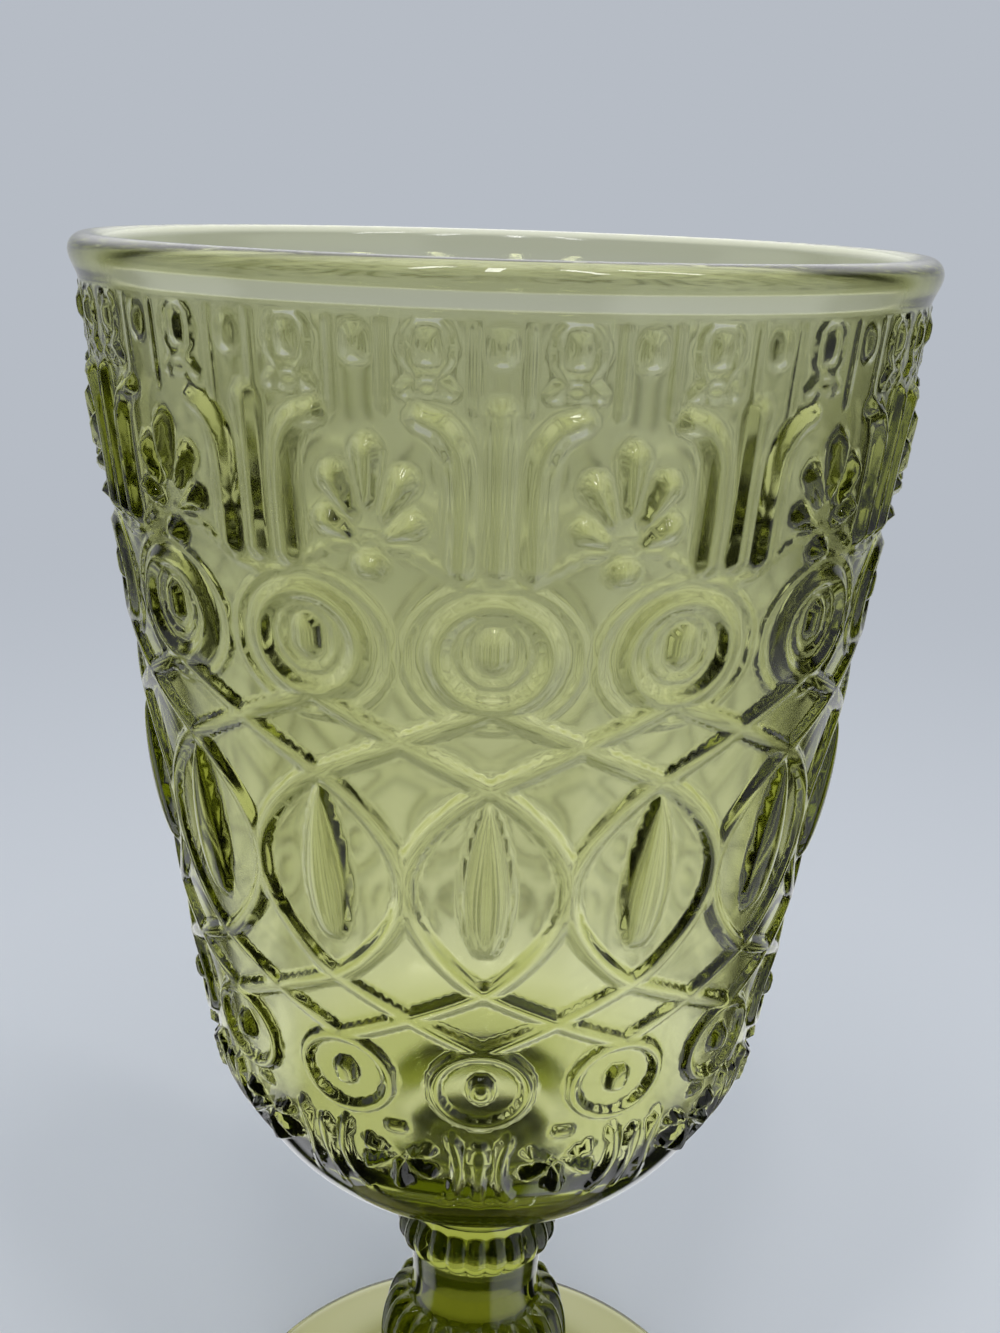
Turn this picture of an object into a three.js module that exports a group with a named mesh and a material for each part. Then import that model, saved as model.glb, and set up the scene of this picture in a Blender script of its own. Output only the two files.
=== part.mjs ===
// A pressed glass goblet: bowl, ribbed knop, fluted stem and round foot, joined hot one on another.
// Millimetres, +Z up, with the origin on the axis at the plane that the foot stands on.
import * as THREE from 'three';

// Foot
const FOOT_RADIUS = 32;
const FOOT_EDGE = 2.7;
const FOOT_RISE = 4.3;
const REST_RING_OUTER = 30.4;
const REST_RING_INNER = 24;
const FOOT_HOLLOW = 1.4;

// Stem
const STEM_HEIGHT = 23.5;
const STEM_BASE_RADIUS = 17;
const STEM_BODY_RADIUS = 11.8;
const STEM_SHOULDER = 5.8;
const STEM_DOME = 12;
const STEM_FLARE = 3.4;
const FLUTE_COUNT = 24;
const FLUTE_DEPTH = 0.5;

// Knop
const WAIST_RADIUS = 7.8;
const KNOP_HEIGHT = 12.5;
const KNOP_NECK_RADIUS = 8.1;
const KNOP_RADIUS = 9.3;
const KNOP_BAND = 2.8;
const KNOP_RIB_LENGTH = 5.5;
const KNOP_RIB_COUNT = 24;
const KNOP_RIB_DEPTH = 0.4;

// Bowl: the neck on the knop, the flat bottom round it, the heel and the wall
const JOINT_RADIUS = 9.2;
const NECK_HEIGHT = 7.7;
const NECK_FILLET = 2.6;
const BOTTOM_RADIUS = 21;
const BOTTOM_RISE = 0.7;
const BOTTOM_EDGE = 1.6;
const UNDERSIDE_RISE = 28;
const HEEL_ANGLE = THREE.MathUtils.degToRad(43);
const WALL_FOOT_RADIUS = 31.2;
const WALL_SWELL = 0.6;
const WALL_THICKNESS = 3.2;

// Bowl: the floor inside and the round well in its middle
const FLOOR_THICKNESS = 6.2;
const INNER_HEEL = 9.5;
const WELL_RADIUS = 11.8;
const WELL_DEPTH = 5.5;
const WELL_EDGE = 1.2;

// Bowl: the rounded lip
const LIP_RADIUS = 42.5;
const LIP_OVERHANG = 0.9;
const LIP_THICKNESS = 3.2;
const LIP_BAND = 4.6;

// Bowl: the bands of the relief, from the lip down, as heights along the axis
const BEAD_BAND = 4;
const FLOWER_BAND = 18.2;
const RING_BAND = 9.7;
const LATTICE_BAND = 7.6;
const OVAL_BAND = 21.5;
const LOWER_LATTICE_BAND = 6.9;
const LOWER_RING_BAND = 9.5;
const HEEL_BAND = 12;

// Bowl: how far the cords, beads and lenses stand proud, and how wide they are
const CORD_HEIGHT = 0.8;
const CORD_HALF_WIDTH = 1.5;
const BEAD_HEIGHT = 0.8;
const LENS_HEIGHT = 1.5;
const LENS_HALF_WIDTH = 2.25;
const LENS_MARGIN = 3;
const OVAL_FULLNESS = 0.8;
const RING_ARC = THREE.MathUtils.degToRad(7.4);
const PATTERN_COUNT = 15;
const BEAD_COUNT = 45;

// Bowl: the flowers of the upper band and of the heel's band, mirrored about their middle lines. The points of
// each stroke are (length to the side, share of the band's height).
const FLOWER_COUNT = 12;
const FLOWER_HEIGHT = 0.95;
const FLOWER_HALF_WIDTH = 1.4;
const TONGUE = [[0, 0.17], [0, 0.82]];
const SCROLL = [[2.85, 0.17], [2.95, 0.55], [4.2, 0.74], [6.3, 0.81]];
const PALMETTE = [
  [[0, 0.36], [0, 0.65]],
  [[0.9, 0.32], [2.9, 0.53]],
  [[1.1, 0.26], [3.5, 0.35]],
  [[0, 0.13], [0.3, 0.13]],
];
const DROP_HEIGHT = 0.85;
const DROP_HALF_WIDTH = 1.1;
const MIDDLE_DROP = [[0, 0.4], [0, 0.9]];
const SIDE_DROP = [[3.9, 0.1], [2, 0.55], [2.5, 0.92]];
const LOWER_PALMETTE = [
  [[0, 0.93], [0.4, 0.93]],
  [[1.2, 0.68], [2.9, 0.73]],
  [[0.9, 0.6], [3, 0.48]],
  [[0, 0.3], [0, 0.55]],
];

// How finely the round forms are cut
const BOWL_COLUMNS = 90;
const CARVED_COLUMNS = 180;
const PLAIN_BOWL_COLUMNS = 44;
const FOOT_COLUMNS = 60;

// Sizes that follow from those above
const WALL_TOP_RADIUS = LIP_RADIUS - LIP_OVERHANG;
const FOOT_TOP = FOOT_EDGE + FOOT_RISE;
const WAIST = FOOT_TOP + STEM_HEIGHT;
const BOWL_BASE = WAIST + KNOP_HEIGHT;
const BOTTOM = BOWL_BASE + NECK_HEIGHT;
const FLOOR = BOTTOM + FLOOR_THICKNESS;
const WALL_FOOT = BOWL_BASE + UNDERSIDE_RISE;
const LOWER_RING_TOP = WALL_FOOT + LOWER_RING_BAND;
const OVAL_FOOT = LOWER_RING_TOP + LOWER_LATTICE_BAND;
const OVAL_TOP = OVAL_FOOT + OVAL_BAND;
const RING_FOOT = OVAL_TOP + LATTICE_BAND;
const RING_TOP = RING_FOOT + RING_BAND;
const BEAD_FOOT = RING_TOP + FLOWER_BAND;
const WALL_TOP = BEAD_FOOT + BEAD_BAND;
const RIM = WALL_TOP + LIP_BAND;

const HALF_CELL = Math.PI / PATTERN_COUNT;
const COLUMN_STEP = 2 * Math.PI / BOWL_COLUMNS;
const STEPS_PER_CORD = Math.round(HALF_CELL / COLUMN_STEP);

const glass = (name, colour, opacity) => new THREE.MeshStandardMaterial({
  name,
  color: colour,
  roughness: 0.05,
  metalness: 0,
  transparent: true,
  opacity,
});

const at = (radius, height) => new THREE.Vector2(radius, height);

// Points on a straight run, without its first end.
function run(from, to, steps) {
  return Array.from({ length: steps }, (_, i) => from.clone().lerp(to, (i + 1) / steps));
}

// Points on a curve that leaves `from` towards `corner` and comes to `to` from it, without its first end.
function bend(from, corner, to, steps) {
  return new THREE.QuadraticBezierCurve(from, corner, to).getPoints(steps).slice(1);
}

const smooth = () => 0;

// Rings of points round the axis, one for each place on a profile. swell(angle, place) says how far the skin
// is pushed out along the profile's normal.
const rings = (places, columns, swell = smooth) => places.map((place) => ({ place, columns, swell }));

// Triangles between two rings with as many columns, each cell split along the ridge of the relief.
function cells(lower, upper) {
  const index = [];
  for (let column = 0; column < lower.columns; column += 1) {
    const next = (column + 1) % lower.columns;
    const [a, b, c, d] = [lower.first + column, lower.first + next, upper.first + column, upper.first + next];
    const rising = lower.lifts[column] + upper.lifts[next] >= lower.lifts[next] + upper.lifts[column];
    if (rising) index.push(a, b, d, a, d, c);
    else index.push(a, b, c, b, d, c);
  }
  return index;
}

// Triangles between two rings with different numbers of columns.
function zip(lower, upper) {
  const index = [];
  const low = (i) => lower.first + i % lower.columns;
  const high = (j) => upper.first + j % upper.columns;
  let i = 0;
  let j = 0;
  while (i < lower.columns || j < upper.columns) {
    const lowerIsBehind = (i + 0.5) * upper.columns <= (j + 0.5) * lower.columns;
    if (i < lower.columns && (lowerIsBehind || j === upper.columns)) {
      index.push(low(i), low(i + 1), high(j));
      i += 1;
    } else {
      index.push(low(i), high(j + 1), high(j));
      j += 1;
    }
  }
  return index;
}

// A closed body around the Z axis, from its bottom on the axis, over its rings, to its top on the axis.
function turned(bottom, ringList, top) {
  const profile = [at(0, bottom), ...ringList.map((ring) => ring.place), at(0, top)];
  const positions = [];
  const laid = ringList.map(({ place, columns, swell }, row) => {
    const along = profile[row + 2].clone().sub(profile[row]).normalize();
    const first = positions.length / 3;
    const lifts = [];
    for (let column = 0; column < columns; column += 1) {
      const angle = column * 2 * Math.PI / columns;
      const lift = swell(angle, place);
      const radius = place.x + lift * along.y;
      positions.push(radius * Math.sin(angle), -radius * Math.cos(angle), place.y - lift * along.x);
      lifts.push(lift);
    }
    return { first, columns, lifts };
  });
  const axis = positions.length / 3;
  positions.push(0, 0, bottom, 0, 0, top);

  const index = [];
  const lowest = laid[0];
  const highest = laid[laid.length - 1];
  for (let i = 0; i < lowest.columns; i += 1) {
    index.push(axis, lowest.first + (i + 1) % lowest.columns, lowest.first + i);
  }
  for (let i = 0; i < highest.columns; i += 1) {
    index.push(axis + 1, highest.first + i, highest.first + (i + 1) % highest.columns);
  }
  laid.slice(1).forEach((upper, row) => {
    const lower = laid[row];
    index.push(...(lower.columns === upper.columns ? cells(lower, upper) : zip(lower, upper)));
  });
  const geometry = new THREE.BufferGeometry();
  geometry.setAttribute('position', new THREE.Float32BufferAttribute(positions, 3));
  geometry.setIndex(index);
  geometry.computeVertexNormals();
  return geometry;
}

// Radius of the plain wall at a height: a straight taper with a slight swell at its middle.
function wallRadius(height) {
  const share = (height - WALL_FOOT) / (WALL_TOP - WALL_FOOT);
  const taper = THREE.MathUtils.lerp(WALL_FOOT_RADIUS, WALL_TOP_RADIUS, share);
  return taper + 4 * WALL_SWELL * share * (1 - share);
}

// How far the big oval's cord lies from its middle line, as an angle, at a height.
function ovalArc(height) {
  const share = THREE.MathUtils.clamp((height - OVAL_FOOT) / OVAL_BAND, 0, 1);
  return HALF_CELL * Math.pow(Math.sin(Math.PI * share), OVAL_FULLNESS);
}

// Distance from a point to a straight cord, both given as (arc length, height).
function cordDistance(point, from, to) {
  const nearest = new THREE.Line3(from, to).closestPointToPoint(point, true, new THREE.Vector3());
  return nearest.distanceTo(point);
}

// Distance from a point to the nearest of several strokes, each a list of points joined by straight cords.
function strokesDistance(point, strokes) {
  const each = strokes.map((stroke) => stroke.slice(1).map((to, i) => cordDistance(point, stroke[i], to)));
  return Math.min(...each.flat());
}

// Distance from a point to the line of an oval ring, close enough near that line.
function ringDistance(arc, height, middle, halfArc, halfHeight) {
  const reach = Math.hypot(arc / halfArc, (height - middle) / halfHeight);
  return Math.abs(reach - 1) * Math.min(halfArc, halfHeight);
}

const rounded = (distance, halfWidth) => Math.max(0, 1 - (distance / halfWidth) ** 2);

// The lace: one cord loops into a ring, crosses its neighbours, becomes an oval, and loops again below.
function lace(angle, { x: radius, y: height }) {
  const cell = 2 * HALF_CELL;
  const offset = Math.abs(angle - cell * Math.round(angle / cell));
  const here = new THREE.Vector3(radius * offset, height, 0);
  const side = radius * HALF_CELL;
  const cross = (outwards, level) => new THREE.Vector3(outwards * side, level, 0);

  const upperMiddle = RING_FOOT - LATTICE_BAND / 2;
  const lowerMiddle = LOWER_RING_TOP + LOWER_LATTICE_BAND / 2;
  const ringMiddle = RING_FOOT + RING_BAND / 2;
  const lowerRingMiddle = LOWER_RING_TOP - LOWER_RING_BAND / 2;
  const distances = [
    strokesDistance(here, [
      [cross(0, RING_FOOT), cross(1, upperMiddle), cross(0, OVAL_TOP)],
      [cross(0, OVAL_FOOT), cross(1, lowerMiddle), cross(0, LOWER_RING_TOP)],
    ]),
    ringDistance(radius * offset, height, ringMiddle, radius * RING_ARC, RING_BAND / 2),
    ringDistance(radius * offset, height, lowerRingMiddle, radius * RING_ARC, LOWER_RING_BAND / 2),
  ];
  if (height >= OVAL_FOOT && height <= OVAL_TOP) {
    distances.push(radius * Math.abs(offset - ovalArc(height)));
  }
  const cord = CORD_HEIGHT * rounded(Math.min(...distances), CORD_HALF_WIDTH);

  const ringBead = BEAD_HEIGHT * Math.max(
    rounded(here.distanceTo(cross(0, ringMiddle)), CORD_HALF_WIDTH),
    rounded(here.distanceTo(cross(0, lowerRingMiddle)), CORD_HALF_WIDTH),
  );
  const lensMiddle = (OVAL_FOOT + OVAL_TOP) / 2;
  const lensHalf = OVAL_BAND / 2 - LENS_MARGIN;
  const lensSpread = Math.hypot(radius * offset / LENS_HALF_WIDTH, (height - lensMiddle) / lensHalf);
  return Math.max(cord, ringBead, LENS_HEIGHT * rounded(lensSpread, 1));
}

// The row of beads under the lip.
function beads(angle, { x: radius, y: height }) {
  const step = 2 * Math.PI / BEAD_COUNT;
  const arc = radius * (angle - step * Math.round(angle / step));
  const middle = (BEAD_FOOT + WALL_TOP) / 2;
  return BEAD_HEIGHT * rounded(Math.hypot(arc, height - middle), CORD_HALF_WIDTH);
}

// A band of flowers: some strokes lie about each flower's middle line, the others about the line between two.
function flowers(foot, band, raised, halfWidth, onFlower, between) {
  const cell = 2 * Math.PI / FLOWER_COUNT;
  const drawn = (strokes) => strokes.map((stroke) => (
    stroke.map(([side, share]) => new THREE.Vector3(side, foot + share * band, 0))
  ));
  const [flowerStrokes, betweenStrokes] = [drawn(onFlower), drawn(between)];
  return (angle, { x: radius, y: height }) => {
    const offset = Math.abs(angle - cell * Math.round(angle / cell));
    const fromFlower = new THREE.Vector3(radius * offset, height, 0);
    const fromBetween = new THREE.Vector3(radius * (cell / 2 - offset), height, 0);
    const nearest = Math.min(
      strokesDistance(fromFlower, flowerStrokes),
      strokesDistance(fromBetween, betweenStrokes),
    );
    return raised * rounded(nearest, halfWidth);
  };
}

const upperFlowers = flowers(
  RING_TOP, FLOWER_BAND, FLOWER_HEIGHT, FLOWER_HALF_WIDTH, [TONGUE, SCROLL], PALMETTE,
);
const heelFlowers = flowers(
  WALL_FOOT - HEEL_BAND, HEEL_BAND, DROP_HEIGHT, DROP_HALF_WIDTH, [MIDDLE_DROP, SIDE_DROP], LOWER_PALMETTE,
);
const wallRelief = (angle, place) => Math.max(
  lace(angle, place),
  beads(angle, place),
  upperFlowers(angle, place),
);

// Rings of the wall. Where cords run slantwise the rings fall where a cord meets a column, so that its ridge
// passes through points, and the flowers take finer columns.
function wallRings() {
  const heights = [WALL_FOOT];
  const evenly = (top, steps) => {
    const from = heights[heights.length - 1];
    for (let i = 1; i <= steps; i += 1) heights.push(THREE.MathUtils.lerp(from, top, i / steps));
  };
  evenly(LOWER_RING_TOP, 4);
  evenly(OVAL_FOOT, 2 * STEPS_PER_CORD);
  for (let i = 1; i <= 4 * STEPS_PER_CORD - 4; i += 1) {
    const share = i / (4 * STEPS_PER_CORD - 4);
    const eased = share - Math.sin(2 * Math.PI * share) / (4 * Math.PI);
    heights.push(OVAL_FOOT + OVAL_BAND * eased);
  }
  evenly(RING_FOOT, 2 * STEPS_PER_CORD);
  evenly(RING_TOP, 4);
  evenly(BEAD_FOOT, 8);
  evenly(WALL_TOP, 2);
  return heights.flatMap((height) => {
    const carved = height > RING_TOP && height < BEAD_FOOT;
    return rings([at(wallRadius(height), height)], carved ? CARVED_COLUMNS : BOWL_COLUMNS, wallRelief);
  });
}

function makeBowl() {
  const wallFoot = at(WALL_FOOT_RADIUS, WALL_FOOT);
  const slope = (WALL_TOP_RADIUS - WALL_FOOT_RADIUS + 4 * WALL_SWELL) / (WALL_TOP - WALL_FOOT);

  // The heel leaves the edge of the bottom at an angle and runs into the wall: the two lines meet at a corner.
  const edge = at(BOTTOM_RADIUS, BOTTOM + BOTTOM_RISE);
  const steepness = Math.tan(HEEL_ANGLE);
  const wallAtEdge = WALL_FOOT_RADIUS - slope * (WALL_FOOT - edge.y + steepness * edge.x);
  const cornerRadius = wallAtEdge / (1 - slope * steepness);
  const corner = at(cornerRadius, edge.y + steepness * (cornerRadius - edge.x));
  const neckTop = at(JOINT_RADIUS, BOTTOM - NECK_FILLET);
  const bottomStart = at(JOINT_RADIUS + NECK_FILLET, BOTTOM);
  const edgeStart = edge.clone().add(bottomStart.clone().sub(edge).setLength(BOTTOM_EDGE));
  const edgeEnd = edge.clone().add(corner.clone().sub(edge).setLength(BOTTOM_EDGE));
  const heel = bend(edgeEnd, corner, wallFoot, 8).slice(0, -1);
  const isCarved = (place) => place.y > WALL_FOOT - HEEL_BAND;

  const lipRound = LIP_THICKNESS / 2;
  const lipMiddle = at(LIP_RADIUS - lipRound, RIM - lipRound);
  const lip = new THREE.EllipseCurve(lipMiddle.x, lipMiddle.y, lipRound, lipRound, 0, Math.PI).getPoints(6);
  const bandFoot = at((LIP_RADIUS + WALL_TOP_RADIUS) / 2, WALL_TOP + LIP_BAND / 4);

  const mouth = lip[lip.length - 1];
  const innerSlope = (mouth.x - WALL_FOOT_RADIUS + WALL_THICKNESS) / (mouth.y - WALL_FOOT);
  const innerAt = (height) => at(mouth.x - innerSlope * (mouth.y - height), height);
  const innerTurn = innerAt(FLOOR + INNER_HEEL);

  // The well is a round hollow; its brink is eased over the edge on both sides.
  const wellFloor = at(0, FLOOR - WELL_DEPTH);
  const wellSide = at(WELL_RADIUS - WELL_EDGE, 0);
  wellSide.y = wellFloor.y + WELL_DEPTH * (wellSide.x / WELL_RADIUS) ** 2;
  const brink = at((WELL_RADIUS ** 2 + wellSide.x ** 2) / (2 * wellSide.x), FLOOR);
  const floorEdge = at(brink.x + WELL_EDGE, FLOOR);

  return turned(BOWL_BASE, [
    ...rings([at(JOINT_RADIUS, BOWL_BASE), neckTop], PLAIN_BOWL_COLUMNS),
    ...rings(bend(neckTop, at(JOINT_RADIUS, BOTTOM), bottomStart, 2), PLAIN_BOWL_COLUMNS),
    ...rings([edgeStart, ...bend(edgeStart, edge, edgeEnd, 2)], PLAIN_BOWL_COLUMNS),
    ...rings(heel.filter((place) => !isCarved(place)), PLAIN_BOWL_COLUMNS),
    ...rings(heel.filter(isCarved), CARVED_COLUMNS, heelFlowers),
    ...wallRings(),
    ...rings([bandFoot, ...lip, ...run(mouth, innerTurn, 3)], PLAIN_BOWL_COLUMNS),
    ...rings(bend(innerTurn, innerAt(FLOOR), floorEdge, 4), PLAIN_BOWL_COLUMNS),
    ...rings(bend(floorEdge, brink, wellSide, 2), PLAIN_BOWL_COLUMNS),
    ...rings(bend(wellSide, at(wellSide.x / 2, wellFloor.y), wellFloor, 3).slice(0, -1), PLAIN_BOWL_COLUMNS),
  ], wellFloor.y);
}

// Ribs that swell and sink round the axis, `count` of them, fading out at both ends of their height.
function ribs(count, depth, foot, top) {
  return (angle, place) => {
    const share = THREE.MathUtils.clamp((place.y - foot) / (top - foot), 0, 1);
    return depth * Math.sin(Math.PI * share) * Math.cos(count * angle);
  };
}

function makeKnop() {
  const waist = at(WAIST_RADIUS, WAIST);
  const bandFoot = at(KNOP_RADIUS, BOWL_BASE - KNOP_BAND);
  const ribFoot = at(KNOP_NECK_RADIUS, bandFoot.y - KNOP_RIB_LENGTH);
  const bulge = at(KNOP_RADIUS, ribFoot.y + KNOP_RADIUS - KNOP_NECK_RADIUS);
  const places = [
    waist,
    ribFoot,
    ...bend(ribFoot, bulge, bandFoot, 6),
    at(JOINT_RADIUS, BOWL_BASE),
  ];
  const ribbed = ribs(KNOP_RIB_COUNT, KNOP_RIB_DEPTH, ribFoot.y, bandFoot.y);
  return turned(WAIST, rings(places, 2 * KNOP_RIB_COUNT, ribbed), BOWL_BASE);
}

function makeStem() {
  const waist = at(WAIST_RADIUS, WAIST);
  const shoulder = at(STEM_BODY_RADIUS, WAIST - STEM_SHOULDER);
  const body = at(STEM_BODY_RADIUS, WAIST - STEM_DOME);
  const flare = at(STEM_BODY_RADIUS, FOOT_TOP + STEM_FLARE);
  const base = at(STEM_BASE_RADIUS, FOOT_TOP);
  const places = [base, ...bend(base, flare, body, 5), ...bend(body, shoulder, waist, 5)];
  const fluted = ribs(FLUTE_COUNT, FLUTE_DEPTH, FOOT_TOP, WAIST);
  return turned(FOOT_TOP, rings(places, 2 * FLUTE_COUNT, fluted), WAIST);
}

function makeFoot() {
  const restInner = at(REST_RING_INNER, 0);
  const restOuter = at(REST_RING_OUTER, 0);
  const edge = at(FOOT_RADIUS, FOOT_EDGE / 2);
  const topEdge = at(FOOT_RADIUS - (FOOT_RADIUS - REST_RING_OUTER) / 2, FOOT_EDGE);
  const seat = at(STEM_BASE_RADIUS, FOOT_TOP);
  const hollow = at(0, FOOT_HOLLOW);
  const places = [
    ...bend(hollow, at(REST_RING_INNER / 2, FOOT_HOLLOW), restInner, 4),
    restOuter,
    ...bend(restOuter, at(FOOT_RADIUS, 0), edge, 3),
    ...bend(edge, at(FOOT_RADIUS, FOOT_EDGE), topEdge, 3),
    ...bend(topEdge, at(STEM_BASE_RADIUS + FOOT_RISE, FOOT_EDGE + FOOT_RISE / 4), seat, 5),
  ];
  return turned(FOOT_HOLLOW, rings(places, FOOT_COLUMNS), FOOT_TOP);
}

function piece(name, geometry, material) {
  const mesh = new THREE.Mesh(geometry, material);
  mesh.name = name;
  return mesh;
}

const bowlGlass = glass('olive green glass, thin', '#b0b484', 0.55);
const stemGlass = glass('olive green glass, thick', '#6f7436', 0.75);

const goblet = new THREE.Group();
goblet.name = 'goblet';
goblet.add(piece('bowl', makeBowl(), bowlGlass));
goblet.add(piece('knop', makeKnop(), stemGlass));
goblet.add(piece('stem', makeStem(), stemGlass));
goblet.add(piece('foot', makeFoot(), stemGlass));

export default goblet;
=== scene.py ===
import math

import bpy
import numpy as np
from mathutils import Matrix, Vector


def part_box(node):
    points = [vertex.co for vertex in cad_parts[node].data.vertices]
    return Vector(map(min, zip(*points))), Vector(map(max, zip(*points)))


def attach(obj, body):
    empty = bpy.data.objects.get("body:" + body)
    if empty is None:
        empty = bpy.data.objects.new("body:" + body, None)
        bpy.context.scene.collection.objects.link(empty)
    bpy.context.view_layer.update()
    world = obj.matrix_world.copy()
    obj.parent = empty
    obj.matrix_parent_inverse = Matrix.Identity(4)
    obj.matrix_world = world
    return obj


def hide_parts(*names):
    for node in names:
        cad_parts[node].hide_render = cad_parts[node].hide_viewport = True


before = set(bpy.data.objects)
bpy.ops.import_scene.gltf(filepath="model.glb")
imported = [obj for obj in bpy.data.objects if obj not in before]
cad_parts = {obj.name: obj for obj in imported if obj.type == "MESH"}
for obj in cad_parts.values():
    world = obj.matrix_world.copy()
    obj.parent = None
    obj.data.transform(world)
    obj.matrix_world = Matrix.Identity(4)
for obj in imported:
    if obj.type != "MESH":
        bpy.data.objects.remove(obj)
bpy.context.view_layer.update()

# Foot
# A round disc of olive green glass, pressed in a mould and fire-polished, so that its edge is soft.
# Its top dishes up to meet the stem, and its underside is hollowed so that it stands on a ring.
MM = 0.001
foot_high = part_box("foot")[1]
FOOT_RADIUS = foot_high[0] / MM
FOOT_TOP = foot_high[2] / MM
FOOT_EDGE = 2.7
REST_RING_OUTER = 30.4
REST_RING_INNER = 24.0
FOOT_HOLLOW = 1.4
STEM_BASE_RADIUS = 17.0
DISH_OUT = 4.3
DISH_UP = 1.1
# Hot-joined pieces run into each other by a hair, so that light passes the joint as through one glass.
FUSED = 0.05
# A ring of points this close to a joint keeps the surface smooth up to it.
SEAM = 0.02
# Copies of a sector are welded where their points lie this close.
WELD = 0.001
FOOT_SECTORS = 24
FOOT_COLUMNS = 8
# In metres: what counts as on the axis, where no way leads outwards, and as level with a joint.
ON_AXIS = 1e-7
AT_JOINT = 1e-6
# Roughness of the bowl's inside, where the plunger was.
PLUNGER_DULLNESS = 0.12


def linear(code):
    """An sRGB hex colour as linear RGBA."""
    channels = [int(code[i:i + 2], 16) / 255 for i in (1, 3, 5)]
    return [c / 12.92 if c <= 0.04045 else ((c + 0.055) / 1.055) ** 2.4 for c in channels] + [1.0]


def add(tree, kind, values=None, links=None, **settings):
    """Adds a node with its settings, its input values and the links into its inputs."""
    node = tree.nodes.new(kind)
    for name, setting in settings.items():
        setattr(node, name, setting)
    for name, value in (values or {}).items():
        node.inputs[name].default_value = value
    for name, socket in (links or {}).items():
        tree.links.new(socket, node.inputs[name])
    return node


def bend(start, corner, end, steps):
    """Points on a curve that leaves start towards corner and reaches end from it, without the first."""
    t = np.linspace(0, 1, steps + 1)[1:, None]
    start, corner, end = (np.array(point, float) for point in (start, corner, end))
    return (1 - t) ** 2 * start + 2 * t * (1 - t) * corner + t ** 2 * end


def plain(angle, height):
    """No relief."""
    return np.zeros(np.broadcast(angle, height).shape)


def sector_rows(profile, along, columns, sector, lift):
    """Points, normals and lifts of the rows of one sector, normals as (outwards, round, up) parts. The slopes
    of the lift are measured over a nudge to each side, in mm."""
    nudge = 0.1
    angle = np.linspace(-sector / 2, sector / 2, columns + 1)[None, :]
    radius, height = profile[:, :1], profile[:, 1:]
    along_r, along_z = along[:, :1], along[:, 1:]
    raised = lift(angle, height)
    turn = nudge / np.maximum(radius, 1)
    per_angle = (lift(angle + turn, height) - lift(angle - turn, height)) / (2 * turn)
    step = nudge * along_z
    per_length = (lift(angle, height + step) - lift(angle, height - step)) / (2 * nudge)
    r = radius + raised * along_z
    z = height - raised * along_r
    points = np.stack([r * np.sin(angle), -r * np.cos(angle), z], axis=-1)
    round_tangent = np.stack([per_angle * along_z, r, -per_angle * along_r], axis=-1)
    up_tangent = np.stack([along_r + per_length * along_z, 0 * r, along_z - per_length * along_r], axis=-1)
    normals = np.cross(round_tangent, up_tangent)
    normals /= np.linalg.norm(normals, axis=-1, keepdims=True)
    return points, normals, raised


def cell_faces(first, rows, columns, raised, middle):
    """Two triangles for each cell, split along the edge that lies closer to the true surface."""
    row, column = np.mgrid[0:rows - 1, 0:columns]
    a = first + row * (columns + 1) + column
    b, c, d = a + 1, a + columns + 1, a + columns + 2
    across = (raised[:-1, :-1] + raised[1:, 1:]) / 2
    other = (raised[:-1, 1:] + raised[1:, :-1]) / 2
    use_across = (np.abs(across - middle) <= np.abs(other - middle))[..., None]
    lower = np.where(use_across, np.stack([a, b, d], -1), np.stack([a, b, c], -1))
    upper = np.where(use_across, np.stack([a, d, c], -1), np.stack([b, d, c], -1))
    return np.concatenate([lower.reshape(-1, 3), upper.reshape(-1, 3)])


def zip_faces(lower, upper, lower_columns, upper_columns):
    """Triangles between two rows with different numbers of columns, whose first points are given."""
    faces = []
    i = j = 0
    while i < lower_columns or j < upper_columns:
        if (i + 0.5) * upper_columns <= (j + 0.5) * lower_columns and i < lower_columns or j == upper_columns:
            faces.append((lower + i, lower + i + 1, upper + j))
            i += 1
        else:
            faces.append((lower + i, upper + j + 1, upper + j))
            j += 1
    return np.array(faces)


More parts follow.
